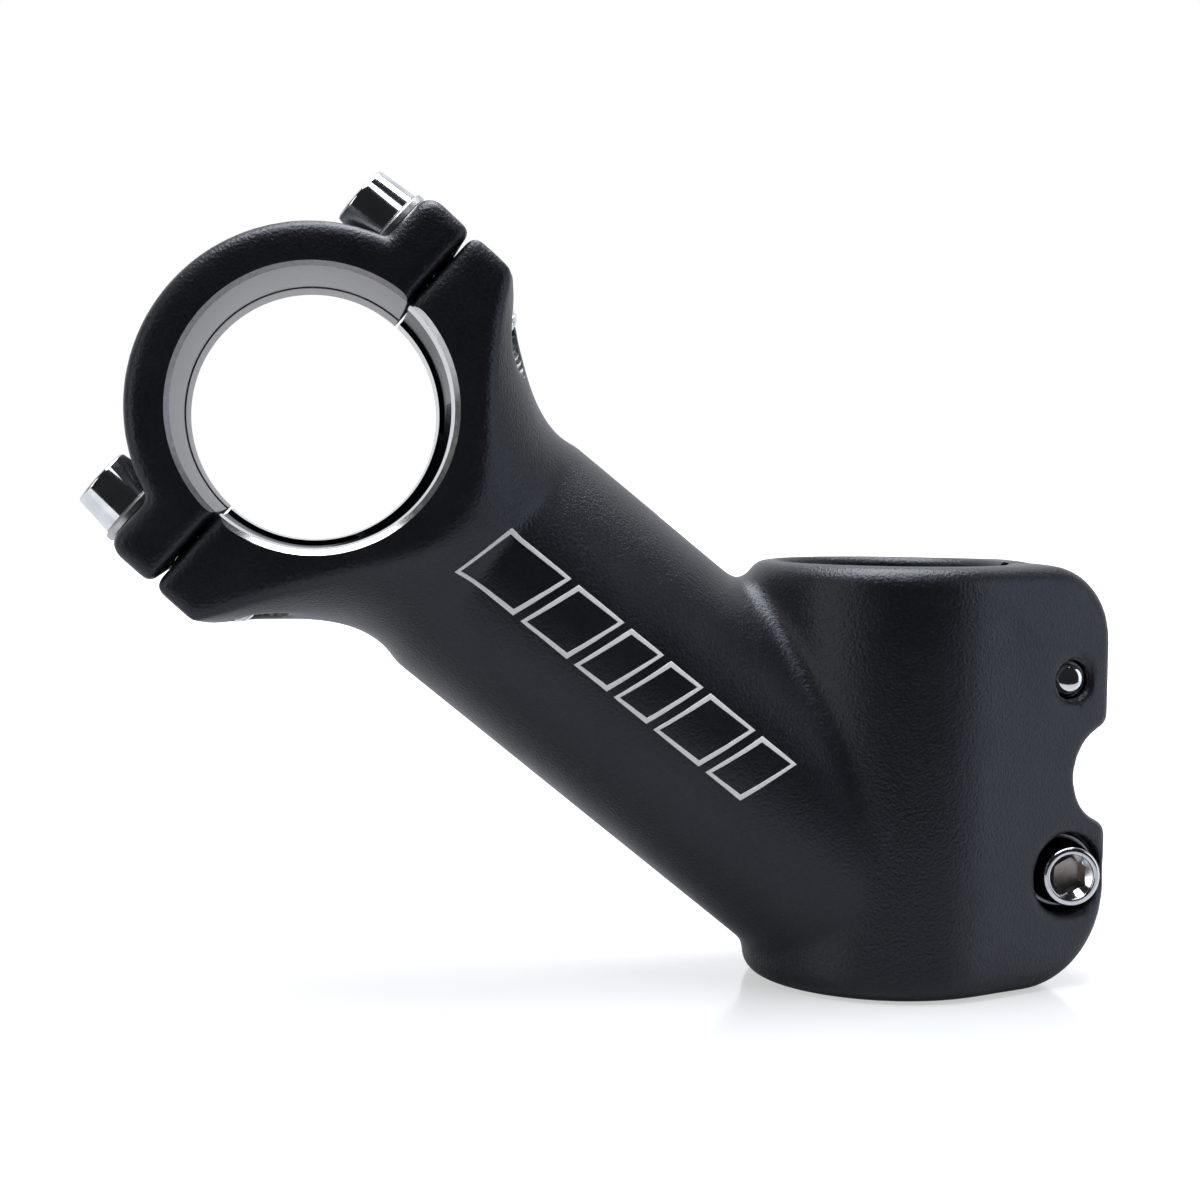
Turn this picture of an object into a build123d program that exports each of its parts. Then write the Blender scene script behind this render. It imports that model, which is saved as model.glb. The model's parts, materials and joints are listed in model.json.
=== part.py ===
from build123d import *
import os
from math import atan2, cos, degrees, hypot, radians, sin, tan

os.makedirs("parts", exist_ok=True)

# A threadless bicycle stem. Millimetres, +Z up along the steerer, handlebar towards -X, bar axis along Y.
# The origin is on the steerer bore's axis, midway between the barrel's two end faces.

# Bores of the two tubes that it joins
steerer_bore = 28.6
bar_bore = 31.8

# Extension: straight neck from the steerer barrel up to the bar clamp
neck_length = 93.6  # steerer axis to bar axis, along the neck
neck_rise = 38.9  # degrees above the horizontal
neck_inset = 1.1  # neck's side in from the barrel's side
neck_wall = 3.0  # above and below the hollow
side_wall = 5.8  # beside the hollow
hollow_corner = 8.0
neck_squareness = 0.1  # flat left between the rounded quarters of the neck's section
neck_blend = 2.3  # fillet where the neck runs into the barrel

# Steerer barrel
barrel_wall = 4.1
heel_height = 4.1  # bottom face up to the neck's underside, at the barrel
crown_height = 4.1  # neck's top, at the barrel, up to the top face
barrel_edge = 2.4  # outer rounding of both end faces
barrel_bore_edge = 1.2

# Pinch ears behind the barrel
pinch_slot = 2.5
pinch_offset = 6.0  # bore wall to pinch bolt axis
pinch_edge = 14.2  # end face to pinch bolt axis
ear_lip = 0.8  # metal behind a counterbore
ear_taper = 24.9  # degrees that each ear's side draws in
ear_corner_top = 9.3
ear_corner_bottom = 12.0
notch_depth = 5.2
notch_web = 0.7  # metal left between notch and counterbore
notch_edge = 0.9
pinch_seat = 6.0  # counterbore floor, out from the slot's middle plane

# Bar clamp
clamp_width = 42.0
clamp_tilt = 2.8  # degrees that the split turns up from the neck's own square
split_gap = 0.4
cap_wall = 5.2
bolt_offset = 6.1  # bore wall to bar bolt axis
bolt_edge = 8.0  # clamp's side to bar bolt axis
lug_lip = 0.2  # lug's end beyond a washer
cap_lug_height = 6.8
body_lug_depth = 6.3
cap_edge = 1.6
lug_corner = 2.0
split_corner = 0.8
clamp_edge = 0.6  # chamfer round the bore's ends
ring_width = 2.7  # flat of the clamp's sides behind the bore
shoulder_length = 8.4  # from that flat back to the round neck
shoulder_swell = 0.7  # neck's growth at the flat

# M5 bolts with conical heads, and their washers
thread_diameter = 5.0
thread_clearance = 0.05  # radial
shank_clearance = 0.25  # radial, in the drilled holes
head_base = 8.5
head_end = 7.2
head_height = 5.0
head_edge = 0.4
key_size = 4.0
key_depth = 3.0
key_mouth = 5.4
tip_chamfer = 0.6
cap_bolt_length = 18.0
pinch_bolt_length = 16.0
washer_diameter = 9.4
washer_thickness = 1.0
washer_edge = 0.2
seat_diameter = 10.2  # spot faces and counterbores

steerer_radius = steerer_bore / 2
bar_radius = bar_bore / 2
barrel_radius = steerer_radius + barrel_wall
neck_radius = barrel_radius - neck_inset
half_width = clamp_width / 2

rise = radians(neck_rise)
taper = radians(ear_taper)
neck_section_height = 2 * neck_radius / cos(rise)
stack_height = heel_height + neck_section_height + crown_height
half_stack = stack_height / 2
foot_height = heel_height + neck_radius / cos(rise) - barrel_radius * tan(rise)

neck_direction = Vector(-cos(rise), 0, sin(rise))
neck_across = Vector(sin(rise), 0, cos(rise))
foot = Vector(0, 0, foot_height - half_stack)
bar_centre = foot + neck_direction * neck_length

split_rise = radians(neck_rise + clamp_tilt)
split_normal = Vector(-cos(split_rise), 0, sin(split_rise))
split_across = Vector(sin(split_rise), 0, cos(split_rise))
clamp_plane = Plane(origin=bar_centre, x_dir=split_across, z_dir=(0, -1, 0))

bolt_span = bar_radius + bolt_offset
bolt_row = clamp_width - 2 * bolt_edge
lug_end = bolt_span + washer_diameter / 2 + lug_lip
cap_radius = bar_radius + cap_wall
half_gap = split_gap / 2

pinch_x = steerer_radius + pinch_offset
ear_rear = pinch_x + seat_diameter / 2 + ear_lip
pinch_height = half_stack - pinch_edge
pinch_heights = {"lower": -pinch_height, "upper": pinch_height}
ear_half = barrel_radius / cos(taper) - ear_rear * tan(taper)
notch_radius = pinch_height - seat_diameter / 2 - notch_web
pinch_sides = {"lower": -1, "upper": 1}  # side of the slot that the head is on
drilled_radius = thread_diameter / 2 + shank_clearance

ring_back = bar_radius + ring_width
neck_front = ring_back + shoulder_length
shoulder_lean = ring_back * tan(radians(clamp_tilt))  # the neck's axis off the clamp's own, there
shoulder_back = (ring_back + body_lug_depth) / 2
shoulder_sections = [  # back, lean, half length, half width, corner
    (ring_back, shoulder_lean, neck_radius + shoulder_swell, half_width + 0.8, neck_radius - 1.3),
    (shoulder_back, shoulder_lean / 4, (neck_radius + lug_end) / 2, half_width + 2.4, neck_radius * 0.82),
    (body_lug_depth, 0, lug_end, half_width + 2.0, 4.5),
]


def across_clamp(height):
    """Plane square to the split's normal, at a height from the bar's axis."""
    return Plane(origin=bar_centre + split_normal * height, x_dir=split_across, z_dir=split_normal)


def across_neck(back):
    """Plane square to the neck, at a distance back from the bar's axis."""
    return Plane(origin=bar_centre - neck_direction * back, x_dir=neck_across, z_dir=neck_direction)



def pinch_plane(name, out):
    """Plane square to a pinch bolt, facing its head, at a distance out from the slot's middle."""
    side = pinch_sides[name]
    return Plane(origin=(pinch_x, side * out, pinch_heights[name]), x_dir=(1, 0, 0), z_dir=(0, side, 0))


def above_split(point):
    """How far a point is from the split, towards the faceplate."""
    return (point - bar_centre).dot(split_normal)


def on_barrel(edge):
    """Whether an edge curves round the barrel's wall."""
    points = [edge @ share for share in (0.2, 0.5, 0.8)]
    straight = abs(points[0].X - points[2].X) + abs(points[0].Y - points[2].Y) < 0.001
    return not straight and all(abs(hypot(p.X, p.Y) - barrel_radius) < 0.01 for p in points)


def on_bore(edge):
    """Whether an edge runs along the bar's bore."""
    return edge.geom_type == GeomType.CIRCLE and abs(edge.radius - bar_radius) < 0.01


def neck_profile():
    """Round section of the neck, drawn as four quarters so that it lofts to the squared lugs."""
    RectangleRounded(2 * neck_radius, 2 * neck_radius, neck_radius - neck_squareness)


# Cones that chamfer both ends of the bar's bore
with BuildPart() as rims:
    for side in (-1, 1):
        rim = Plane(bar_centre + Vector(0, side * half_width, 0), x_dir=split_across, z_dir=(0, side, 0))
        with BuildSketch(rim):
            Circle(bar_radius + clamp_edge)
        extrude(amount=-2 * clamp_edge, taper=45)

# Neck, with a shoulder that spreads and squares into the bar clamp between two flat sides
with BuildPart() as neck:
    with BuildSketch(across_neck(neck_front)):
        neck_profile()
    for back, lean, long, wide, corner in shoulder_sections:
        with BuildSketch(across_clamp(-back)):
            with Locations((lean, 0)):
                RectangleRounded(2 * long, 2 * wide, corner)
    loft()
    with BuildSketch(clamp_plane):
        Circle(3 * bar_radius)
    extrude(amount=half_width, both=True, mode=Mode.INTERSECT)
    with BuildSketch(across_neck(neck_length)):
        neck_profile()
    extrude(amount=neck_length - neck_front)
    split(bisect_by=Plane.XY.offset(barrel_edge - half_stack), keep=Keep.TOP)

# Steerer barrel: a tube whose rear runs out into two pinch ears
with BuildPart() as stem_body:
    with BuildSketch():
        Circle(barrel_radius)
        with BuildLine():
            Polyline(
                (barrel_radius * sin(taper), -barrel_radius * cos(taper)),
                (ear_rear, -ear_half),
                (ear_rear, ear_half),
                (barrel_radius * sin(taper), barrel_radius * cos(taper)),
                close=True,
            )
        make_face()
    extrude(amount=half_stack, both=True)
    with BuildSketch(Plane.XZ) as side:
        with Locations((ear_rear, 0)):
            Rectangle(ear_rear + 2 * barrel_radius, stack_height, align=(Align.MAX, Align.CENTER))
        fillet(side.vertices().group_by(Axis.X)[-1].sort_by(Axis.Y)[0], ear_corner_bottom)
        fillet(side.vertices().group_by(Axis.Y)[-1].sort_by(Axis.X)[-1], ear_corner_top)
    extrude(amount=2 * barrel_radius, both=True, mode=Mode.INTERSECT)
    seams = stem_body.edges().filter_by(Axis.Y)
    walls = stem_body.edges().filter_by(Axis.Z).filter_by(lambda edge: edge.center().X < pinch_x)
    fillet(stem_body.edges() - seams - walls, barrel_edge)

    # Notch between the two pinch bolts
    with BuildSketch(Plane.XZ):
        with Locations((ear_rear - notch_depth + notch_radius, 0)):
            Circle(notch_radius)
    extrude(amount=2 * barrel_radius, both=True, mode=Mode.SUBTRACT)
    notch = stem_body.faces().filter_by(GeomType.CYLINDER).sort_by_distance(
        (ear_rear - notch_depth, 0, 0)
    )[0]
    fillet(notch.edges(), notch_edge)

    # Neck, blended into the barrel
    add(neck.part)
    fillet(stem_body.edges(Select.NEW).filter_by(on_barrel), neck_blend)

    # Lugs of the bar clamp
    with BuildSketch(clamp_plane) as lugs:
        with Locations((0, -half_gap)):
            Rectangle(2 * lug_end, body_lug_depth - half_gap, align=(Align.CENTER, Align.MAX))
        fillet(lugs.vertices().group_by(Axis.Y)[-1], split_corner)
    extrude(amount=half_width, both=True)

    # Hollow from the bar clamp down the neck into the steerer bore
    with BuildSketch(across_neck(neck_length)):
        RectangleRounded(2 * (neck_radius - neck_wall), 2 * (neck_radius - side_wall), hollow_corner)
    extrude(amount=neck_length, mode=Mode.SUBTRACT)

    # Bore for the bar
    with BuildSketch(clamp_plane):
        Circle(bar_radius)
    extrude(amount=half_width, both=True, mode=Mode.SUBTRACT)
    add(rims.part, mode=Mode.SUBTRACT)

    # Bore for the steerer, with its mouths rounded, and the slot that lets it close
    with BuildSketch():
        Circle(steerer_radius)
    extrude(amount=half_stack, both=True, mode=Mode.SUBTRACT)
    mouths = stem_body.edges().filter_by(GeomType.CIRCLE).filter_by(
        lambda edge: abs(edge.radius - steerer_radius) < 0.01 and edge.length > 6 * steerer_radius
    )
    fillet(mouths, barrel_bore_edge)
    with BuildSketch():
        Rectangle(ear_rear, pinch_slot, align=(Align.MIN, Align.CENTER))
    extrude(amount=half_stack, both=True, mode=Mode.SUBTRACT)

    # Counterbore and drilled hole in one ear, tapped hole in the other, the two bolts opposed
    for name in pinch_heights:
        with BuildSketch(pinch_plane(name, pinch_seat)):
            Circle(seat_diameter / 2)
        extrude(amount=barrel_radius, mode=Mode.SUBTRACT)
        with BuildSketch(pinch_plane(name, 0)):
            Circle(drilled_radius)
        extrude(amount=pinch_seat, mode=Mode.SUBTRACT)
        with BuildSketch(pinch_plane(name, 0)):
            Circle(thread_diameter / 2)
        extrude(amount=-barrel_radius, mode=Mode.SUBTRACT)

    # Tapped holes for the bar bolts, out through the shoulder's back
    with BuildSketch(across_clamp(0)):
        with GridLocations(2 * bolt_span, bolt_row, 2, 2):
            Circle(thread_diameter / 2)
    extrude(amount=-neck_front, mode=Mode.SUBTRACT)

stem_body.part.label = "stem_body"
export_step(stem_body.part, "parts/stem_body.step")


# Faceplate: the outer half of the bar clamp, an arch with a lug at each end
with BuildPart() as faceplate:
    with BuildSketch(clamp_plane) as arch:
        Circle(cap_radius)
        Rectangle(2 * lug_end, 2 * cap_lug_height)
        with Locations((0, half_gap)):
            Rectangle(4 * lug_end, 4 * lug_end, align=(Align.CENTER, Align.MAX), mode=Mode.SUBTRACT)
        Circle(bar_radius, mode=Mode.SUBTRACT)
        fillet(arch.vertices().group_by(Axis.Y)[0], split_corner)
        lug_tops = arch.vertices().filter_by(lambda point: abs(point.Y - cap_lug_height) < 0.01)
        fillet(lug_tops.group_by(Axis.X)[0] + lug_tops.group_by(Axis.X)[-1], lug_corner)
    extrude(amount=half_width, both=True)
    flanks = faceplate.faces().filter_by(Axis.Y).edges()
    outer = flanks.filter_by(lambda edge: above_split(edge @ 0.5) > split_corner)
    fillet(outer.filter_by(lambda edge: not on_bore(edge)), cap_edge)
    add(rims.part, mode=Mode.SUBTRACT)
    with BuildSketch(across_clamp(cap_lug_height)):
        with GridLocations(2 * bolt_span, bolt_row, 2, 2):
            Circle(seat_diameter / 2)
    extrude(amount=cap_radius, mode=Mode.SUBTRACT)
    with BuildSketch(across_clamp(0)):
        with GridLocations(2 * bolt_span, bolt_row, 2, 2):
            Circle(drilled_radius)
    extrude(amount=cap_radius, mode=Mode.SUBTRACT)
faceplate.part.label = "faceplate"
export_step(faceplate.part, "parts/faceplate.step")


def make_bolt(seat, length):
    """M5 bolt with a conical head whose underside lies on the seat plane."""
    with BuildPart() as bolt:
        with BuildSketch(seat):
            Circle(head_base / 2)
        extrude(amount=head_height, taper=degrees(atan2((head_base - head_end) / 2, head_height)))
        fillet(bolt.edges().sort_by(Axis(seat.origin, seat.z_dir))[-1], head_edge)
        with BuildSketch(seat.offset(head_height)):
            RegularPolygon(key_size / 2, 6, major_radius=False)
        extrude(amount=-key_depth, mode=Mode.SUBTRACT)
        with BuildSketch(seat.offset(head_height)):
            Circle(key_mouth / 2)
        extrude(amount=(key_size - key_mouth) / 2, taper=45, mode=Mode.SUBTRACT)
        with BuildSketch(seat):
            Circle(thread_diameter / 2 - thread_clearance)
        extrude(amount=-length)
        chamfer(bolt.edges().sort_by(Axis(seat.origin, seat.z_dir))[0], tip_chamfer)
    return bolt.part


def make_washer(seat):
    """Flat washer that lies on the seat plane."""
    with BuildPart() as washer:
        with BuildSketch(seat):
            Circle(washer_diameter / 2)
            Circle(drilled_radius, mode=Mode.SUBTRACT)
        extrude(amount=washer_thickness)
        chamfer(washer.edges().filter_by(GeomType.CIRCLE).group_by(SortBy.RADIUS)[-1], washer_edge)
    return washer.part


# Four bar bolts and their washers, seated on the faceplate's lugs
for row, along in (("lower", -bolt_span), ("upper", bolt_span)):
    for side, out in (("left", -bolt_row / 2), ("right", bolt_row / 2)):
        lug = across_clamp(cap_lug_height)
        seat = Plane(lug.from_local_coords((along, out, 0)), x_dir=lug.x_dir, z_dir=lug.z_dir)
        washer = make_washer(seat)
        washer.label = f"faceplate_washer_{row}_{side}"
        export_step(washer, f"parts/{washer.label}.step")
        bolt = make_bolt(seat.offset(washer_thickness), cap_bolt_length)
        bolt.label = f"faceplate_bolt_{row}_{side}"
        export_step(bolt, f"parts/{bolt.label}.step")

# Two pinch bolts and their washers, seated in the counterbores
for name in pinch_heights:
    washer = make_washer(pinch_plane(name, pinch_seat))
    washer.label = f"pinch_washer_{name}"
    export_step(washer, f"parts/{washer.label}.step")
    bolt = make_bolt(pinch_plane(name, pinch_seat + washer_thickness), pinch_bolt_length)
    bolt.label = f"pinch_bolt_{name}"
    export_step(bolt, f"parts/{bolt.label}.step")
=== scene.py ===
import json
from math import atan2, cos, hypot, pi, radians, sin

import bmesh
import bpy
from mathutils import Matrix, Quaternion, Vector
from mathutils.bvhtree import BVHTree


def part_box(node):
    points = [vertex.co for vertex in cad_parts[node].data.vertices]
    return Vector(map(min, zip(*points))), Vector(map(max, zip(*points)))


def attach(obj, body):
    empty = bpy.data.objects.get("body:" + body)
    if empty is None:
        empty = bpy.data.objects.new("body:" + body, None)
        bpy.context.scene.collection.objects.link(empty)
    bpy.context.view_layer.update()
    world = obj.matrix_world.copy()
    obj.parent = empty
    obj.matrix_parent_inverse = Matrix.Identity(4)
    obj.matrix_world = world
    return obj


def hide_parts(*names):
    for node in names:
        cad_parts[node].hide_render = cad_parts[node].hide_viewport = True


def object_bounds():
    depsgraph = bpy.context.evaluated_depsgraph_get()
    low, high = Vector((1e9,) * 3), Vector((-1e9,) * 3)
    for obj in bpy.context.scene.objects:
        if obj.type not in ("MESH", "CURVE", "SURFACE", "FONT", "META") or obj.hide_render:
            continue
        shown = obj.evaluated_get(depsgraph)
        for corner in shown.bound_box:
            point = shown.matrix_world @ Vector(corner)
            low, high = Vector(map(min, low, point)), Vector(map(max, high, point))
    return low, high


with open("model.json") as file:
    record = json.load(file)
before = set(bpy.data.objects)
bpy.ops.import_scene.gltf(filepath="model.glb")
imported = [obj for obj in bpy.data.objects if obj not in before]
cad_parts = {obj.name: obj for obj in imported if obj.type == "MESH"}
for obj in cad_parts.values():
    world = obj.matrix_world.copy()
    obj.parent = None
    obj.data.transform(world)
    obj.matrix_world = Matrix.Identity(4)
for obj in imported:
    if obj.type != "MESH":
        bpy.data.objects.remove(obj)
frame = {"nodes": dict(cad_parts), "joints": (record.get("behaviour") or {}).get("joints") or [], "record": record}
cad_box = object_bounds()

mm = 0.001

# Camera: a portrait lens close to the stem, level with its barrel's top and turned a little towards
# the pinch bolts.
camera_place = Vector((-71.8, -262.0, 37.2)) * mm
camera_yaw = radians(7.48)
camera_dip = radians(3.46)
camera_roll = radians(0.67)
ahead = Vector((sin(camera_yaw) * cos(camera_dip), cos(camera_yaw) * cos(camera_dip), -sin(camera_dip)))
camera = bpy.data.objects.new("camera", bpy.data.cameras.new("camera"))
camera.data.sensor_width = 36
camera.data.lens = 63.66
camera.data.clip_start = 0.01
camera.location = camera_place
camera.rotation_mode = "QUATERNION"
camera.rotation_quaternion = ahead.to_track_quat("-Z", "Y") @ Quaternion((0, 0, 1), camera_roll)
bpy.context.scene.collection.objects.link(camera)
bpy.context.scene.camera = camera
bpy.context.scene.view_settings.view_transform = "Standard"


# Studio: a glossy white table that runs out of sight, a surround that is bright behind the stem and
# dark before it, and softboxes above, beside and in front.
def material_with_shader(name):
    """A new node material and its Principled shader."""
    material = bpy.data.materials.new(name)
    material.use_nodes = True
    return material, material.node_tree.nodes["Principled BSDF"]


def finished_piece(form, name, *materials):
    """An object at the origin from a bmesh, shaded smooth."""
    mesh = bpy.data.meshes.new(name)
    form.to_mesh(mesh)
    form.free()
    for material in materials:
        mesh.materials.append(material)
    mesh.shade_smooth()
    piece = bpy.data.objects.new(name, mesh)
    bpy.context.scene.collection.objects.link(piece)
    return piece


table_white, shader = material_with_shader("table_white")
shader.inputs["Base Color"].default_value = (0.45, 0.46, 0.48, 1)
shader.inputs["Roughness"].default_value = 0.13
shader.inputs["Emission Color"].default_value = (1, 1, 1, 1)
nodes, links = table_white.node_tree.nodes, table_white.node_tree.links
place = nodes.new("ShaderNodeTexCoord")
distance = nodes.new("ShaderNodeVectorMath")
distance.operation = "LENGTH"
glow = nodes.new("ShaderNodeMapRange")
glow.inputs["From Min"].default_value = 0.06
glow.inputs["From Max"].default_value = 0.35
glow.inputs["To Min"].default_value = 0.52
glow.inputs["To Max"].default_value = 1.0
direct = nodes.new("ShaderNodeLightPath")
spill = nodes.new("ShaderNodeMapRange")
spill.inputs["To Min"].default_value = 0.15
strength = nodes.new("ShaderNodeMath")
strength.operation = "MULTIPLY"
links.new(place.outputs["Object"], distance.inputs[0])
links.new(distance.outputs["Value"], glow.inputs["Value"])
links.new(direct.outputs["Is Camera Ray"], spill.inputs["Value"])
links.new(glow.outputs["Result"], strength.inputs[0])
links.new(spill.outputs["Result"], strength.inputs[1])
links.new(strength.outputs["Value"], shader.inputs["Emission Strength"])
table_depth = 3
table_front = -0.11
form = bmesh.new()
bmesh.ops.create_grid(form, x_segments=1, y_segments=1, size=table_depth / 2)
bmesh.ops.translate(form, verts=form.verts, vec=(0, table_depth / 2 + table_front, cad_box[0].z))
table = finished_piece(form, "table", table_white)

lit_point = Vector((-0.03, 0, 0.02))
softboxes = [  # name, place, size, watts, colour
    ("top_softbox", (-0.05, 0.02, 0.50), (0.6, 0.35), 5.2, (0.95, 0.97, 1.0)),
    ("right_softbox", (0.55, -0.22, 0.12), (0.35, 0.45), 0.8, (0.78, 0.87, 1.0)),
    ("left_softbox", (-0.60, -0.30, 0.12), (0.25, 0.45), 0.7, (1.0, 0.99, 0.97)),
    ("front_softbox", (0.02, -0.30, 0.42), (0.35, 0.12), 0.35, (0.80, 0.87, 1.0)),
]
for name, place, (wide, tall), watts, colour in softboxes:
    box = bpy.data.lights.new(name, "AREA")
    box.shape = "RECTANGLE"
    box.size = wide
    box.size_y = tall
    box.energy = watts
    box.color = colour
    lamp = bpy.data.objects.new(name, box)
    lamp.location = place
    lamp.rotation_euler = (lit_point - lamp.location).to_track_quat("-Z", "Y").to_euler()
    bpy.context.scene.collection.objects.link(lamp)

world = bpy.data.worlds.new("studio")
world.use_nodes = True
nodes, links = world.node_tree.nodes, world.node_tree.links
surround = nodes["Background"]
seen = nodes.new("ShaderNodeBackground")
seen.inputs["Color"].default_value = (1, 1, 1, 1)
direct = nodes.new("ShaderNodeLightPath")
choice = nodes.new("ShaderNodeMixShader")
coordinates = nodes.new("ShaderNodeTexCoord")
parts = nodes.new("ShaderNodeSeparateXYZ")
front_to_back = nodes.new("ShaderNodeMapRange")
front_to_back.inputs["From Min"].default_value = -0.1
front_to_back.inputs["From Max"].default_value = 0.6
front_to_back.inputs["To Min"].default_value = 0.02
front_to_back.inputs["To Max"].default_value = 0.9
links.new(coordinates.outputs["Generated"], parts.inputs["Vector"])
links.new(parts.outputs["Y"], front_to_back.inputs["Value"])
links.new(front_to_back.outputs["Result"], surround.inputs["Strength"])
surround.inputs["Color"].default_value = (0.92, 0.95, 1.0, 1)
links.new(direct.outputs["Is Camera Ray"], choice.inputs["Fac"])
links.new(surround.outputs["Background"], choice.inputs[1])
links.new(seen.outputs["Background"], choice.inputs[2])
links.new(choice.outputs["Shader"], nodes["World Output"].inputs["Surface"])
bpy.context.scene.world = world


# Stem body: forged aluminium, blasted and sprayed satin black, then bored, drilled and tapped.
# The forging is the frame's own body with its bores filled, softened all over as a forging is, and
# the machined features are cut into it again with clean edges.
mounts = {mount["name"]: mount for mount in frame["record"]["mounts"]}
joints = {joint["name"]: joint for joint in frame["joints"]}
split_normal = Vector(joints["faceplate_slide"]["axis"])
split_across = Vector((split_normal.z, 0, -split_normal.x))
bar_centre = Vector(mounts["handlebar_clamp"]["pos_m"])
bar_radius = mounts["handlebar_clamp"]["dims"]["r_mm"] * mm
steerer_radius = mounts["steerer_clamp"]["dims"]["r_mm"] * mm
body_low, body_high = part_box("stem_body")
half_width = body_high.y
half_stack = -body_low.z
half_gap = 0.2 * mm
bore_edge = 0.6 * mm  # chamfer round the bar bore's ends
mouth_edge = 1.2 * mm  # rounding of the steerer bore's ends
neck_rise = radians(38.9)
neck_foot = Vector((0, 0, -14.847)) * mm
neck_direction = Vector((-cos(neck_rise), 0, sin(neck_rise)))
neck_radius = 17.3 * mm
neck_length = (bar_centre - neck_foot).length
hollow_height = 28.6 * mm
hollow_width = 23.0 * mm
hollow_corner = 8.0 * mm
slot_width = 2.5 * mm
forging_grain = 0.62 * mm
forging_softness = 7

clamp_turn = Matrix((split_across, Vector((0, -1, 0)), split_normal)).transposed().to_4x4()
neck_turn = neck_direction.to_track_quat("Z", "Y").to_matrix().to_4x4()
clamp_place = Matrix.Translation(bar_centre) @ clamp_turn  # x along the split, z out of it
bar_place = Matrix.Translation(bar_centre) @ Matrix.Rotation(pi / 2, 4, "X")  # z along the bar


def satin_black(name, tint):
    """Sprayed satin black: a fine powder grain that catches the light, and faint unevenness."""
    material, shader = material_with_shader(name)
    nodes, links = material.node_tree.nodes, material.node_tree.links
    place = nodes.new("ShaderNodeTexCoord")
    grain = nodes.new("ShaderNodeTexNoise")
    grain.inputs["Scale"].default_value = 2900
    grain.inputs["Detail"].default_value = 2
    cloud = nodes.new("ShaderNodeTexNoise")
    cloud.inputs["Scale"].default_value = 120
    cloud.inputs["Detail"].default_value = 4
    sheen = nodes.new("ShaderNodeMapRange")
    sheen.inputs["From Min"].default_value = 0.3
    sheen.inputs["From Max"].default_value = 0.7
    sheen.inputs["To Min"].default_value = 0.33
    sheen.inputs["To Max"].default_value = 0.42
    shade = nodes.new("ShaderNodeValToRGB")
    shade.color_ramp.elements[0].position = 0.35
    shade.color_ramp.elements[0].color = (tint * 0.72, tint * 0.72, tint * 0.92, 1)
    shade.color_ramp.elements[1].position = 0.75
    shade.color_ramp.elements[1].color = (tint * 1.5, tint * 1.52, tint * 2.1, 1)
    bump = nodes.new("ShaderNodeBump")
    bump.inputs["Strength"].default_value = 1.0
    bump.inputs["Distance"].default_value = 0.09 * mm
    for texture in (grain, cloud):
        links.new(place.outputs["Object"], texture.inputs["Vector"])
    links.new(cloud.outputs["Fac"], sheen.inputs["Value"])
    links.new(sheen.outputs["Result"], shader.inputs["Roughness"])
    links.new(grain.outputs["Fac"], shade.inputs["Fac"])
    links.new(shade.outputs["Color"], shader.inputs["Base Color"])
    links.new(grain.outputs["Fac"], bump.inputs["Height"])
    links.new(bump.outputs["Normal"], shader.inputs["Normal"])
    shader.inputs["Specular Tint"].default_value = (0.86, 0.90, 1.0, 1)
    return material


def bare_metal(name, colour, roughness, grain_scale, depth):
    """Uncoated metal with a grain of its own."""
    material, shader = material_with_shader(name)
    nodes, links = material.node_tree.nodes, material.node_tree.links
    shader.inputs["Metallic"].default_value = 1
    place = nodes.new("ShaderNodeTexCoord")
    grain = nodes.new("ShaderNodeTexNoise")
    grain.inputs["Scale"].default_value = grain_scale
    grain.inputs["Detail"].default_value = 4
    shade = nodes.new("ShaderNodeValToRGB")
    shade.color_ramp.elements[0].position = 0.3
    shade.color_ramp.elements[0].color = tuple(part * 0.75 for part in colour) + (1,)
    shade.color_ramp.elements[1].position = 0.7
    shade.color_ramp.elements[1].color = colour + (1,)
    dull = nodes.new("ShaderNodeMapRange")
    dull.inputs["To Min"].default_value = roughness * 0.8
    dull.inputs["To Max"].default_value = roughness * 1.2
    bump = nodes.new("ShaderNodeBump")
    bump.inputs["Strength"].default_value = 0.5
    bump.inputs["Distance"].default_value = depth
    links.new(place.outputs["Object"], grain.inputs["Vector"])
    links.new(grain.outputs["Fac"], shade.inputs["Fac"])
    links.new(shade.outputs["Color"], shader.inputs["Base Color"])
    links.new(grain.outputs["Fac"], dull.inputs["Value"])
    links.new(dull.outputs["Result"], shader.inputs["Roughness"])
    links.new(grain.outputs["Fac"], bump.inputs["Height"])
    links.new(bump.outputs["Normal"], shader.inputs["Normal"])
    return material


satin_paint = satin_black("satin_black_paint", 0.0062)
bored_aluminium = bare_metal("bored_aluminium", (0.80, 0.80, 0.79), 0.22, 900, 0.004 * mm)
cored_aluminium = bare_metal("cored_aluminium", (0.10, 0.10, 0.105), 0.62, 700, 0.06 * mm)
tapped_aluminium = bare_metal("tapped_aluminium", (0.16, 0.16, 0.165), 0.4, 1500, 0.01 * mm)


def merged_copy(node):
    """A CAD node's mesh with its loose triangles joined."""
    form = bmesh.new()
    form.from_mesh(frame["nodes"][node].data)
    bmesh.ops.remove_doubles(form, verts=form.verts, dist=0.001 * mm)
    return form


def lathe(profile, place, material=None, segments=192):
    """A solid turned about z, from (radius, height) points that start and end on the axis."""
    form = bmesh.new()
    corners = [form.verts.new((radius, 0, height)) for radius, height in profile]
    line = [form.edges.new(pair) for pair in zip(corners, corners[1:])]
    bmesh.ops.spin(
        form, geom=corners + line, cent=(0, 0, 0), axis=(0, 0, 1), angle=2 * pi, steps=segments,
        use_merge=True,
    )
    bmesh.ops.remove_doubles(form, verts=form.verts, dist=0.0001 * mm)
    bmesh.ops.recalc_face_normals(form, faces=form.faces)
    bmesh.ops.transform(form, matrix=place, verts=form.verts)
    return form


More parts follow.
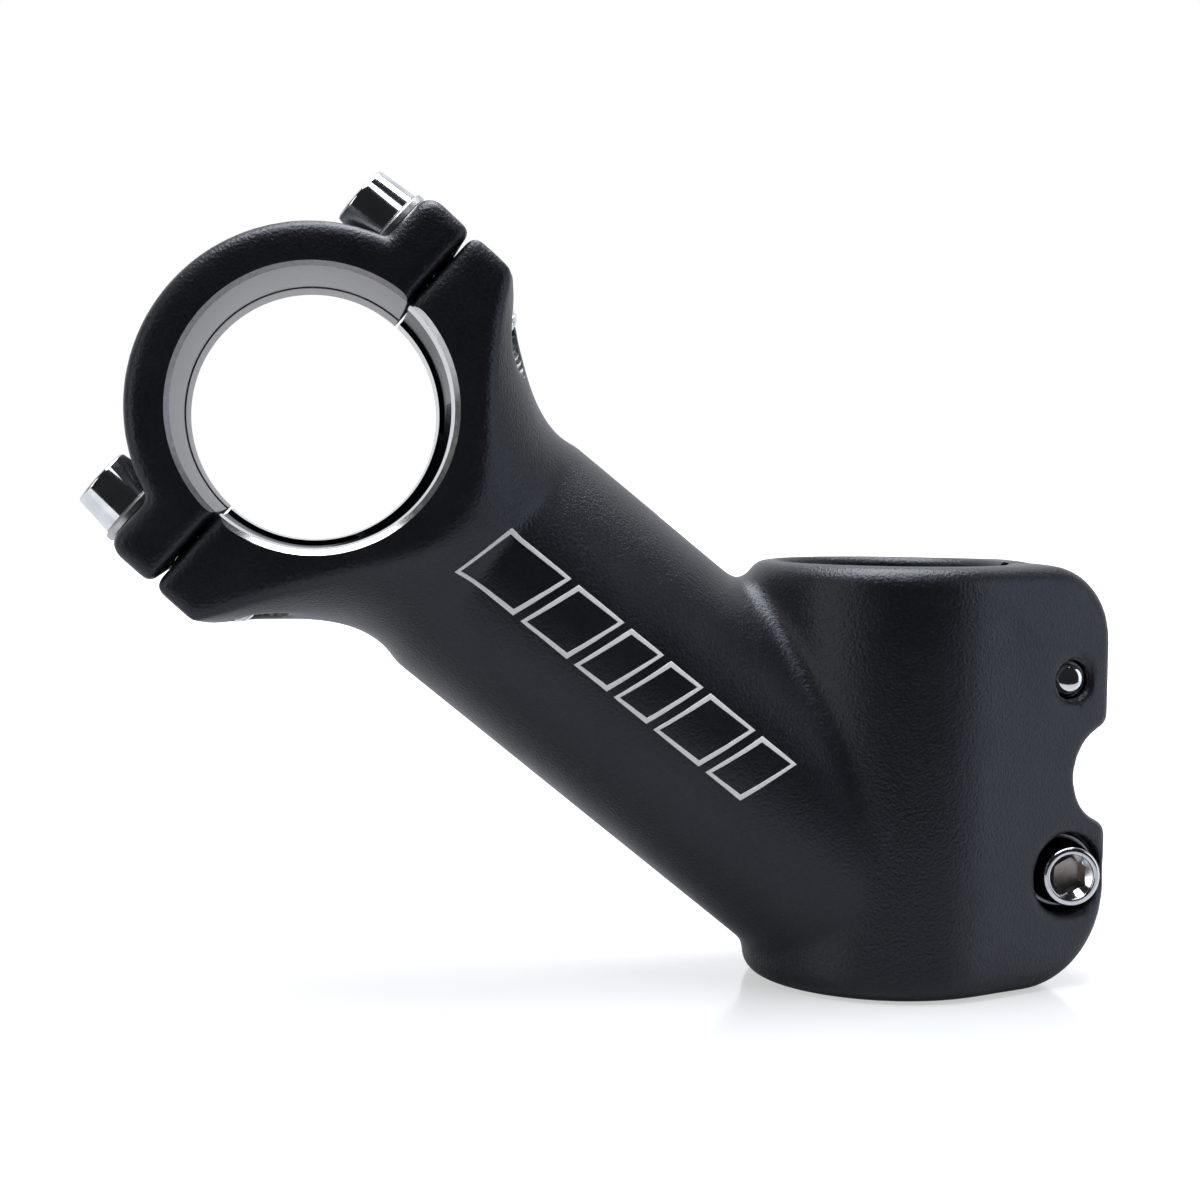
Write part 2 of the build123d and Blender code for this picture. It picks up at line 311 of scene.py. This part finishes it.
def joined(*forms):
    """Several bmeshes as one."""
    whole = bmesh.new()
    for form in forms:
        mesh = bpy.data.meshes.new("part")
        form.to_mesh(mesh)
        form.free()
        whole.from_mesh(mesh)
        bpy.data.meshes.remove(mesh)
    return whole


def settle(piece):
    """Makes a piece's modifiers its own mesh."""
    graph = bpy.context.evaluated_depsgraph_get()
    piece.data = bpy.data.meshes.new_from_object(piece.evaluated_get(graph))
    piece.modifiers.clear()


def cut(piece, form, material, operation="DIFFERENCE"):
    """Takes a solid out of a piece, or joins it on, and leaves its walls in a material."""
    tool = finished_piece(form, "tool", material)
    if material.name not in piece.data.materials:
        piece.data.materials.append(material)
    boolean = piece.modifiers.new("cut", "BOOLEAN")
    boolean.operation = operation
    boolean.solver = "EXACT"
    boolean.material_mode = "TRANSFER"
    boolean.object = tool
    settle(piece)
    bpy.data.objects.remove(tool)


def rod(radius, bottom, top, place, segments=64):
    """A plain cylinder between two heights."""
    return lathe([(0, bottom), (radius, bottom), (radius, top), (0, top)], place, segments=segments)


def thread_height(turns):
    """A thread's triangular wave, from 0 in its root to 1 on its crest."""
    share = turns % 1
    return 1 - abs(2 * share - 1)


def threaded_rod(root, crest, bottom, top, place, tip=0.0):
    """A rod with an M5 coarse helical thread between two radii."""
    segments, pitch, rows_a_turn = 30, 0.8 * mm, 6
    rows = round((top - bottom) / pitch * rows_a_turn)
    form = bmesh.new()
    bmesh.ops.create_cone(
        form, cap_ends=True, segments=segments, radius1=crest, radius2=crest, depth=top - bottom,
        matrix=Matrix.Translation((0, 0, (top + bottom) / 2)),
    )
    sides = [edge for edge in form.edges if abs(edge.verts[0].co.z - edge.verts[1].co.z) > mm / 10]
    bmesh.ops.subdivide_edges(form, edges=sides, cuts=rows - 1, use_grid_fill=True)
    for vert in form.verts:
        turns = vert.co.z / pitch - atan2(vert.co.y, vert.co.x) / (2 * pi)
        radius = root + (crest - root) * thread_height(turns)
        if tip:
            radius = min(radius, crest - tip + (vert.co.z - bottom))
        vert.co.xy *= radius / hypot(vert.co.x, vert.co.y)
    bmesh.ops.transform(form, matrix=place, verts=form.verts)
    return form


def soften(piece, grain, softness):
    """Gives a piece one even skin and rounds its edges by a few passes."""
    remesh = piece.modifiers.new("skin", "REMESH")
    remesh.mode = "VOXEL"
    remesh.voxel_size = grain
    settle(piece)
    form = bmesh.new()
    form.from_mesh(piece.data)
    for step in range(softness):
        bmesh.ops.smooth_vert(
            form, verts=form.verts, factor=0.5, use_axis_x=True, use_axis_y=True, use_axis_z=True
        )
    form.to_mesh(piece.data)
    form.free()


def half_plug(outward):
    """A plug for one half of the clamp's bore, up to the split that the direction points at."""
    plug = rod(bar_radius + bore_edge + plug_margin, -half_width, half_width, bar_place)
    bmesh.ops.bisect_plane(
        plug, geom=plug.verts[:] + plug.edges[:] + plug.faces[:],
        plane_co=bar_centre - outward * half_gap, plane_no=outward, clear_outer=True,
    )
    bmesh.ops.holes_fill(plug, edges=[edge for edge in plug.edges if edge.is_boundary])
    return plug


# The forging, its bores filled
plug_margin = 0.2 * mm
steerer_fill = rod(steerer_radius + mouth_edge + 0.1 * mm, -half_stack, half_stack, Matrix())
neck_place = Matrix.Translation(neck_foot) @ neck_turn
neck_fill = rod(neck_radius - 1.4 * mm, 0, neck_length - 4 * mm, neck_place)
forging = joined(merged_copy("stem_body"), half_plug(split_normal), steerer_fill, neck_fill)
stem_body_finish = finished_piece(forging, "stem_body_finish", satin_paint)
soften(stem_body_finish, forging_grain, forging_softness)

# Cuts
reach = 2 * mm
bored = bar_radius + 0.05 * mm
end = half_width + reach
bar_bore = [
    (0, -end), (bored + bore_edge + reach, -end), (bored, -half_width + bore_edge),
    (bored, half_width - bore_edge), (bored + bore_edge + reach, end), (0, end),
]
cut(stem_body_finish, lathe(bar_bore, bar_place), bored_aluminium)

# The bore's corners at the split, rounded
corner = 2.2 * mm
corner_side = bar_radius - 0.15 * mm
corner_top = -half_gap - 0.05 * mm
for side in (-1, 1):
    round_off = bmesh.new()
    outline = [(bar_radius - mm, corner_top - corner)]
    outline += [(corner_side + corner * (1 - cos(turn)), corner_top - corner * (1 - sin(turn)))
                for turn in (pi / 2 * step / 10 for step in range(11))]
    outline += [(bar_radius + corner, reach), (bar_radius - mm, reach)]
    face = round_off.faces.new([round_off.verts.new((side * x, -end, z)) for x, z in outline])
    drawn = bmesh.ops.extrude_face_region(round_off, geom=[face])["geom"]
    far_end = [part for part in drawn if isinstance(part, bmesh.types.BMVert)]
    bmesh.ops.translate(round_off, vec=(0, 2 * end, 0), verts=far_end)
    bmesh.ops.recalc_face_normals(round_off, faces=round_off.faces)
    bmesh.ops.transform(round_off, matrix=clamp_place, verts=round_off.verts)
    cut(stem_body_finish, round_off, bored_aluminium)

# Steerer bore, hollow neck and pinch slot
bored = steerer_radius + 0.03 * mm
mouth = [(bored + mouth_edge * (1 - cos(turn)), half_stack - mouth_edge * (1 - sin(turn)))
         for turn in (pi / 2 * step / 8 for step in range(9))]
mouth = mouth[:-1] + [(bored + mouth_edge, half_stack), (bored + mouth_edge, half_stack + reach)]
lower_mouth = [(radius, -height) for radius, height in reversed(mouth)]
steerer_bore = [(0, -half_stack - reach)] + lower_mouth + mouth + [(0, half_stack + reach)]
cut(stem_body_finish, lathe(steerer_bore, Matrix()), satin_paint)

hollow = bmesh.new()
bmesh.ops.create_cube(hollow, size=1)
bmesh.ops.scale(hollow, vec=(hollow_height, hollow_width, neck_length), verts=hollow.verts)
edges = [edge for edge in hollow.edges if abs(edge.verts[0].co.z - edge.verts[1].co.z) > mm]
bmesh.ops.bevel(
    hollow, geom=edges, offset=hollow_corner, segments=8, profile=0.5, affect="EDGES", material=-1
)
bmesh.ops.translate(hollow, vec=(0, 0, neck_length / 2), verts=hollow.verts)
bmesh.ops.transform(hollow, matrix=neck_place, verts=hollow.verts)
cut(stem_body_finish, hollow, cored_aluminium)

slot = bmesh.new()
bmesh.ops.create_cube(slot, size=1)
slot_reach = steerer_radius + 3 * mm
bmesh.ops.scale(slot, vec=(slot_reach, slot_width, 2 * half_stack + reach), verts=slot.verts)
bmesh.ops.translate(slot, vec=(slot_reach / 2, 0, 0), verts=slot.verts)
cut(stem_body_finish, slot, satin_paint)

# Bolt holes, each along its own joint's axis, and the bore's relief
tap_root = 2.5 * mm
tap_crest = tap_root + 0.3 * mm
faceplate_tap = (-32 * mm, -9.3 * mm)  # from the hole's end to its mouth
pinch_tap = (-15 * mm, -slot_width / 2)
lead_in = (-12 * mm, -6 * mm)
drilled_radius = 2.8 * mm
seat_radius = 5.13 * mm
pinch_seat = 6.0 * mm  # counterbore floor, out from the slot's middle
ear_clearance = 12 * mm
body_relief_depth = 0.7 * mm
body_relief_ends = (-12.5 * mm, 13.5 * mm)
crease = radians(38)
seats = {}
for name, joint in joints.items():
    if name.endswith("_turn"):
        out = Vector(joint["axis"]).to_track_quat("Z", "Y").to_matrix().to_4x4()
        seats[name.removesuffix("_turn")] = Matrix.Translation(joint["pos_m"]) @ out
for name, seat in seats.items():
    if name.startswith("faceplate"):
        tapped = threaded_rod(tap_root, tap_crest, *faceplate_tap, seat)
        cut(stem_body_finish, rod(tap_root, *lead_in, seat, 30), tapped_aluminium)
    else:
        tapped = threaded_rod(tap_root, tap_crest, *pinch_tap, seat)
        counterbore = rod(seat_radius, pinch_seat - 0.05 * mm, pinch_seat + ear_clearance, seat)
        cut(stem_body_finish, counterbore, satin_paint)
        cut(stem_body_finish, rod(drilled_radius, 0, pinch_seat + reach, seat), satin_paint)
    cut(stem_body_finish, tapped, tapped_aluminium)
body_relief = rod(bar_radius + body_relief_depth, *body_relief_ends, bar_place, 170)
cut(stem_body_finish, body_relief, satin_paint)
stem_body_finish.data.set_sharp_from_angle(angle=crease)
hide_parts("stem_body")
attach(stem_body_finish, "root")


# Graphic on the neck: a row of slanted bars in outline on both sides, printed in pale grey ink. It
# follows the painted skin and stands a twentieth of a millimetre proud of it.
graphic_ink, shader = material_with_shader("pale_grey_ink")
shader.inputs["Roughness"].default_value = 0.42
ink_grain = graphic_ink.node_tree.nodes.new("ShaderNodeTexNoise")
ink_grain.inputs["Scale"].default_value = 2500
ink_shade = graphic_ink.node_tree.nodes.new("ShaderNodeValToRGB")
ink_shade.color_ramp.elements[0].color = (0.78, 0.76, 0.74, 1)
ink_shade.color_ramp.elements[1].color = (0.95, 0.93, 0.91, 1)
ink_place = graphic_ink.node_tree.nodes.new("ShaderNodeTexCoord")
ink_links = graphic_ink.node_tree.links
ink_links.new(ink_place.outputs["Object"], ink_grain.inputs["Vector"])
ink_links.new(ink_grain.outputs["Fac"], ink_shade.inputs["Fac"])
ink_links.new(ink_shade.outputs["Color"], shader.inputs["Base Color"])

graphic_start = neck_length - 25.0 * mm  # along the neck from its foot to the first bar
bar_widths = [9.0, 7.0, 5.0, 5.0, 7.0, 5.4]  # along the neck, mm
bar_height = 7.6 * mm
bar_gap = 1.1 * mm
bar_slant = 2.6 * mm
ink_line = 0.72 * mm
ink_depth = 0.05 * mm
form = bmesh.new()
for face in (-1, 1):
    along = graphic_start
    for width in bar_widths:
        half = bar_height / 2
        corners = [
            (along - bar_slant / 2, half), (along - width * mm - bar_slant / 2, half),
            (along - width * mm + bar_slant / 2, -half), (along + bar_slant / 2, -half),
        ]
        bar = form.faces.new([form.verts.new((x, y, face)) for x, y in corners])
        bar.normal_update()
        bmesh.ops.inset_individual(form, faces=[bar], thickness=ink_line)
        bmesh.ops.delete(form, geom=[bar], context="FACES_ONLY")
        along -= width * mm + bar_gap
bmesh.ops.subdivide_edges(form, edges=form.edges, cuts=5, use_grid_fill=True)
painted = bmesh.new()
painted.from_mesh(stem_body_finish.data)
skin = BVHTree.FromBMesh(painted)
painted.free()
for vert in form.verts:
    along, up, face = vert.co
    angle = up / neck_radius
    out = Vector((0, face * cos(angle), 0)) + Vector((sin(neck_rise), 0, cos(neck_rise))) * sin(angle)
    on_skin = skin.find_nearest(neck_foot + neck_direction * along + out * (neck_radius + mm))[0]
    vert.co = on_skin + out * ink_depth
bmesh.ops.recalc_face_normals(form, faces=form.faces)
bmesh.ops.solidify(form, geom=form.faces[:], thickness=2 * ink_depth)
neck_graphic = finished_piece(form, "neck_graphic", graphic_ink)
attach(neck_graphic, "root")


# Faceplate: the forged outer half of the bar clamp, in the same black, its bore left as grainy bare
# metal with a shallow relief between two narrow lands.
cap_grain = 0.45 * mm
cap_softness = 5
relief_depth = 0.25 * mm
relief_ends = (-10.2 * mm, 12.0 * mm)
seat_ends = (-0.03 * mm, 14 * mm)
hole_ends = (-9 * mm, reach)
grained_aluminium = bare_metal("grained_aluminium", (0.40, 0.385, 0.385), 0.45, 1700, 0.05 * mm)
cap_forging = joined(merged_copy("faceplate"), half_plug(-split_normal))
faceplate_finish = finished_piece(cap_forging, "faceplate_finish", satin_paint)
soften(faceplate_finish, cap_grain, cap_softness)
cut(faceplate_finish, lathe(bar_bore, bar_place), grained_aluminium)
relief = rod(bar_radius + relief_depth, *relief_ends, bar_place, 170)
cut(faceplate_finish, relief, grained_aluminium)
for name, seat in seats.items():
    if name.startswith("faceplate"):
        cut(faceplate_finish, rod(seat_radius, *seat_ends, seat), satin_paint)
        cut(faceplate_finish, rod(drilled_radius, *hole_ends, seat), satin_paint)
faceplate_finish.data.set_sharp_from_angle(angle=crease)
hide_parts("faceplate")
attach(faceplate_finish, "faceplate")


# Washers: flat rings stamped from steel sheet and zinc plated, one under each bolt's head, where they
# keep the head from turning into the paint. The shapes are the frame's own.
# Their grey is darker than bright zinc plate: painted shade for the washers down in the pinch counterbores.
washer_zinc_with_painted_shade = bare_metal("washer_zinc_with_painted_shade", (0.55, 0.55, 0.55), 0.34, 1100, 0.006 * mm)
for name, node in frame["nodes"].items():
    if "washer" in name:
        node.data.materials.clear()
        node.data.materials.append(washer_zinc_with_painted_shade)


# Bolts: M5 steel with a tapered head and a 4 mm hexagon socket, chrome plated. The heads are turned,
# the sockets drilled and broached, and the threads rolled.
chrome = bare_metal("bolt_chrome_plate", (0.84, 0.84, 0.85), 0.09, 500, 0.0015 * mm)
socket_steel = bare_metal("socket_steel", (0.42, 0.38, 0.35), 0.30, 1300, 0.012 * mm)
head_height = 5.0 * mm
washer_thickness = 1.0 * mm
thread_crest = 2.45 * mm
thread_root = 2.12 * mm
socket_radius = 4.0 * mm / 2 / cos(pi / 6)  # to the corners of a 4 mm hexagon
lip = 0.25 * mm
rounding = 0.4 * mm
face_radius = 3.27 * mm
shank_start = -1.2 * mm
lead_taper = 0.6 * mm
bolt_lengths = {"faceplate": 18.0 * mm, "pinch": 16.0 * mm}
head_seats = {"faceplate": washer_thickness, "pinch": pinch_seat + washer_thickness}
rim = [(face_radius + rounding * cos(turn), head_height - rounding * (1 - sin(turn)))
       for turn in (pi / 2 * step / 6 for step in range(7))]
mouth = [(3.0 * mm + lip * cos(turn), head_height - lip * (1 - sin(turn)))
         for turn in (pi / 2 * (1 + step / 5) for step in range(6))]
head_profile = [(0, 0), (4.1 * mm, 0), (4.25 * mm, 0.15 * mm)] + rim + mouth
head_profile += [(2.0 * mm, 4.0 * mm), (0, 4.0 * mm)]
dome = 1.8 * mm
domed_tip = [(dome * sin(turn), -0.6 * mm * cos(turn))
             for turn in (pi / 2 * step / 10 for step in range(11))]
domed_tip += [(dome, mm / 2), (0, mm / 2)]
drill_mark = [(0, 1.5 * mm), (1.72 * mm, 2.02 * mm), (1.72 * mm, 3 * mm), (0, 3 * mm)]
for name, seat in seats.items():
    kind = name.split("_")[0]
    place = seat @ Matrix.Translation((0, 0, head_seats[kind]))
    bolt = finished_piece(lathe(head_profile, place, segments=96), name + "_finish", chrome)
    shank = threaded_rod(thread_root, thread_crest, -bolt_lengths[kind], shank_start, place, lead_taper)
    neck = rod(thread_crest, -1.3 * mm, 1 * mm, place, 30)
    cut(bolt, neck, chrome, "UNION")
    cut(bolt, shank, chrome, "UNION")
    tip_place = place @ Matrix.Translation((0, 0, -bolt_lengths[kind]))
    cut(bolt, lathe(domed_tip, tip_place, segments=48), chrome, "UNION")
    socket = bmesh.new()
    bmesh.ops.create_cone(
        socket, cap_ends=True, segments=6, radius1=socket_radius, radius2=socket_radius,
        depth=4 * mm, matrix=place @ Matrix.Translation((0, 0, 4 * mm)),
    )
    cut(bolt, socket, socket_steel)
    cut(bolt, lathe(drill_mark, place, segments=48), socket_steel)
    bolt.data.set_sharp_from_angle(angle=radians(35))
    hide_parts(name)
    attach(bolt, name)
